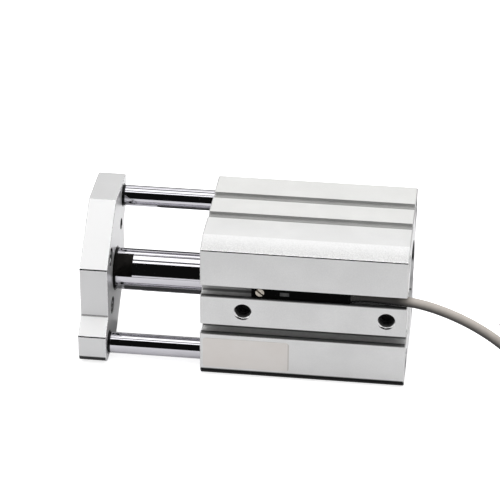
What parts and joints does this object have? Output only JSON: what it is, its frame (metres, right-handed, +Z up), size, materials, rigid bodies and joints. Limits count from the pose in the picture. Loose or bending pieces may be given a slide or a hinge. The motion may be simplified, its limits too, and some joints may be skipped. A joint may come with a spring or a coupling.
{
  "type": "guided pneumatic cylinder",
  "caption": "Compact guided air cylinder: extruded body with sensor slots, a piston rod and two guide rods on a tooling plate, a position switch and its cable.",
  "frame": {"origin": "middle of the footprint of the body and plate with the rod out, on the surface the base rests on", "axes": "+X from the tooling plate towards the head end, along the piston rod; +Y from the ports' side to the back; +Z up"},
  "size_m": [0.1637, 0.0449, 0.042],
  "materials": {
    "anodised_body": "clear anodised, satin, fine extrusion grain",
    "anodised_plate": "clear anodised, finely machined",
    "chromed_rod": "hard chrome, ground and polished",
    "turned_cover": "turned, clear anodised",
    "spring_steel": "phosphated spring steel",
    "screw_steel": "nickel plated screw",
    "bearing_bronze": "sintered bronze, oiled",
    "seal_rubber": "nitrile rubber, matt",
    "bumper_urethane": "cast urethane",
    "piston_alloy": "turned aluminium",
    "magnet_ferrite": "bonded ferrite",
    "wear_resin": "acetal resin",
    "switch_plastic": "black moulded resin",
    "clamp_screw": "nickel plated brass",
    "indicator_window": "cloudy clear resin",
    "cable_jacket": "grey-beige vinyl, satin",
    "core_brown": "vinyl insulation",
    "core_blue": "vinyl insulation",
    "tie_band": "nylon band",
    "label_foil": "pale bare foil"
  },
  "bodies": {
    "cylinder": {"cable_coil": "cable_jacket", "cable_sleeve": "cable_jacket", "cable_tie": "tie_band", "core_blue": "core_blue", "core_brown": "core_brown", "cylinder_body": "anodised_body", "guide_bush_lower_front": "bearing_bronze", "guide_bush_lower_rear": "bearing_bronze", "guide_bush_upper_front": "bearing_bronze", "guide_bush_upper_rear": "bearing_bronze", "head_cover": "turned_cover", "head_cover_seal": "seal_rubber", "label_plate": "label_foil", "rod_bush": "bearing_bronze", "rod_cover": "turned_cover", "rod_cover_ring": "spring_steel", "rod_cover_seal": "seal_rubber", "rod_seal": "seal_rubber", "signal_cable": "cable_jacket", "switch_housing": "switch_plastic", "switch_screw": "clamp_screw", "switch_window": "indicator_window"},
    "carriage": {"tooling_plate": "anodised_plate", "piston_rod": "chromed_rod", "guide_rod_upper": "chromed_rod", "guide_rod_lower": "chromed_rod", "piston_rod_screw": "screw_steel", "guide_rod_screws": "screw_steel", "piston": "piston_alloy", "piston_seal": "seal_rubber", "piston_magnet": "magnet_ferrite", "piston_wear_ring": "wear_resin", "front_bumper": "bumper_urethane", "rear_bumper": "bumper_urethane"}
  },
  "joints": [
    {"name": "rod_slide", "type": "slide", "parent": "cylinder", "child": "carriage", "axis": [1, 0, 0], "range_m": [0, 0.02]}
  ]
}
